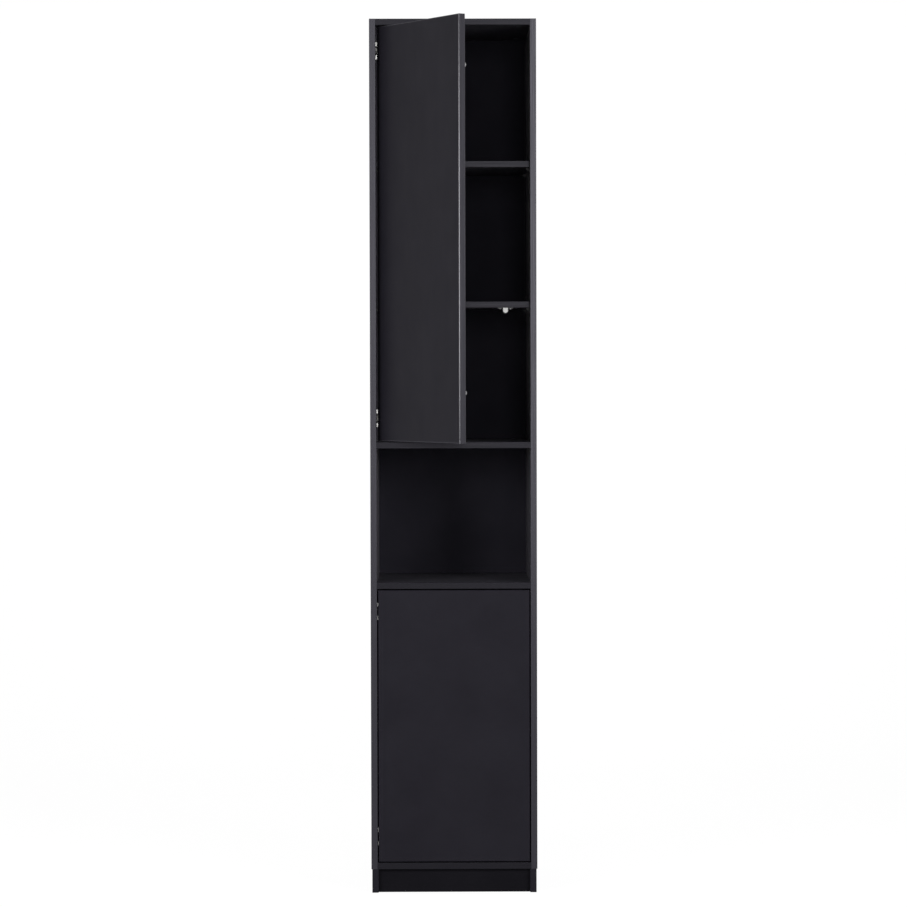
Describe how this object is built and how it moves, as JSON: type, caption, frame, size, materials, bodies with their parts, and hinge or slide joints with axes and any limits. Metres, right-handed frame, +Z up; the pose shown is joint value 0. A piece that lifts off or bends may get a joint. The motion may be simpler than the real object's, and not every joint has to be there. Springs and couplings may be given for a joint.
{
  "type": "tall cupboard",
  "caption": "Tall narrow matt black cupboard without handles: an upper compartment with shelves and an open door, an open niche, a lower door and a separate plinth.",
  "frame": {"origin": "on the floor, at the middle of the cupboard's rear plane", "axes": "+X to the right as the cupboard is faced, +Y to the wall behind it, +Z up"},
  "size_m": [0.4, 0.6846, 2.1],
  "materials": {
    "front_board": "matt black melamine on particle board",
    "plinth_board": "matt black melamine on particle board",
    "board": "satin black melamine on particle board",
    "back_board": "matt black hardboard",
    "edging": "satin black edge strip",
    "side_edging": "satin dark grey edge strip",
    "door_edging": "satin black edge strip with rounded corners",
    "nickel": "nickel plated",
    "steel": "zinc plated",
    "zinc": "cast zinc or pressed steel, plain",
    "beech": "plain beech",
    "black_plastic": "matt black",
    "grey_rubber": "soft light grey",
    "white_plastic": "satin white"
  },
  "bodies": {
    "carcass": {"side_panel_left": "board", "side_panel_right": "board", "top_panel": "board", "niche_top_panel": "board", "niche_floor_panel": "board", "bottom_panel": "board", "back_panel": "back_board", "side_edging": "side_edging", "panel_edging": "edging", "shelf_upper": "board", "shelf_middle": "board", "shelf_lower": "board", "shelf_edging": "edging", "shelf_pins": "black_plastic", "cam_discs": "zinc", "cam_bolts": "zinc", "dowels": "beech", "plinth_side_left": "plinth_board", "plinth_side_right": "plinth_board", "plinth_kickboard": "plinth_board", "plinth_back_board": "plinth_board", "plinth_corner_blocks": "beech", "plinth_screws": "steel", "wall_bracket": "zinc", "wall_bracket_screws": "steel", "upper_hinge_plates": "nickel", "upper_plate_screws": "steel", "upper_hinge_arms": "nickel", "upper_arm_screws": "steel", "upper_arm_pins": "steel", "upper_latch_body": "black_plastic", "upper_latch_screws": "steel", "lower_hinge_plates": "nickel", "lower_plate_screws": "steel", "lower_hinge_arms": "nickel", "lower_arm_screws": "steel", "lower_arm_pins": "steel", "lower_latch_body": "black_plastic", "lower_latch_screws": "steel"},
    "upper_outer_links": {"upper_outer_links": "nickel"},
    "upper_inner_links": {"upper_inner_links": "nickel"},
    "upper_door": {"upper_door": "front_board", "upper_door_edging": "door_edging", "upper_door_buffers": "grey_rubber", "upper_strike_plate": "zinc", "upper_hinge_cups": "nickel", "upper_cup_screws": "steel", "upper_cup_pins": "steel"},
    "upper_latch_plunger": {"upper_latch_plunger": "white_plastic"},
    "lower_outer_links": {"lower_outer_links": "nickel"},
    "lower_inner_links": {"lower_inner_links": "nickel"},
    "lower_door": {"lower_door": "front_board", "lower_door_edging": "door_edging", "lower_door_buffers": "grey_rubber", "lower_strike_plate": "zinc", "lower_hinge_cups": "nickel", "lower_cup_screws": "steel", "lower_cup_pins": "steel"},
    "lower_latch_plunger": {"lower_latch_plunger": "white_plastic"}
  },
  "joints": [
    {"name": "upper_link_turn", "type": "hinge", "parent": "carcass", "child": "upper_outer_links", "pos_m": [-0.1589, -0.3894, 1.5855], "axis": [0, 0, -1], "range_deg": [-45.08, 32.92]},
    {"name": "upper_door_turn", "type": "hinge", "parent": "upper_outer_links", "child": "upper_door", "pos_m": [-0.16745, -0.38281, 1.5855], "axis": [0, 0, -1], "range_deg": [-12.82, 9.38]},
    {"name": "upper_guide_turn", "type": "hinge", "parent": "carcass", "child": "upper_inner_links", "pos_m": [-0.1531, -0.3908, 1.5855], "axis": [0, 0, -1], "range_deg": [-13.28, 9.72]},
    {"name": "lower_link_turn", "type": "hinge", "parent": "carcass", "child": "lower_outer_links", "pos_m": [-0.1589, -0.3894, 0.4025], "axis": [0, 0, -1], "range_deg": [0, 78]},
    {"name": "lower_door_turn", "type": "hinge", "parent": "lower_outer_links", "child": "lower_door", "pos_m": [-0.1696, -0.3908, 0.4025], "axis": [0, 0, -1], "range_deg": [0, 22.1]},
    {"name": "lower_guide_turn", "type": "hinge", "parent": "carcass", "child": "lower_inner_links", "pos_m": [-0.1531, -0.3908, 0.4025], "axis": [0, 0, -1], "range_deg": [0, 22.9]},
    {"name": "upper_latch_push", "type": "slide", "parent": "carcass", "child": "upper_latch_plunger", "axis": [0, 1, 0], "range_m": [0, 0.003], "stiffness_N_per_m": 300, "springref_m": -0.005},
    {"name": "lower_latch_push", "type": "slide", "parent": "carcass", "child": "lower_latch_plunger", "axis": [0, 1, 0], "range_m": [0, 0.003], "stiffness_N_per_m": 300, "springref_m": -0.005}
  ],
  "couplings": [
    {"joint": "upper_door_turn", "follows": "upper_link_turn", "ratio": 0.28205},
    {"joint": "upper_guide_turn", "follows": "upper_link_turn", "ratio": 0.29231},
    {"joint": "lower_door_turn", "follows": "lower_link_turn", "ratio": 0.28205},
    {"joint": "lower_guide_turn", "follows": "lower_link_turn", "ratio": 0.29231}
  ]
}
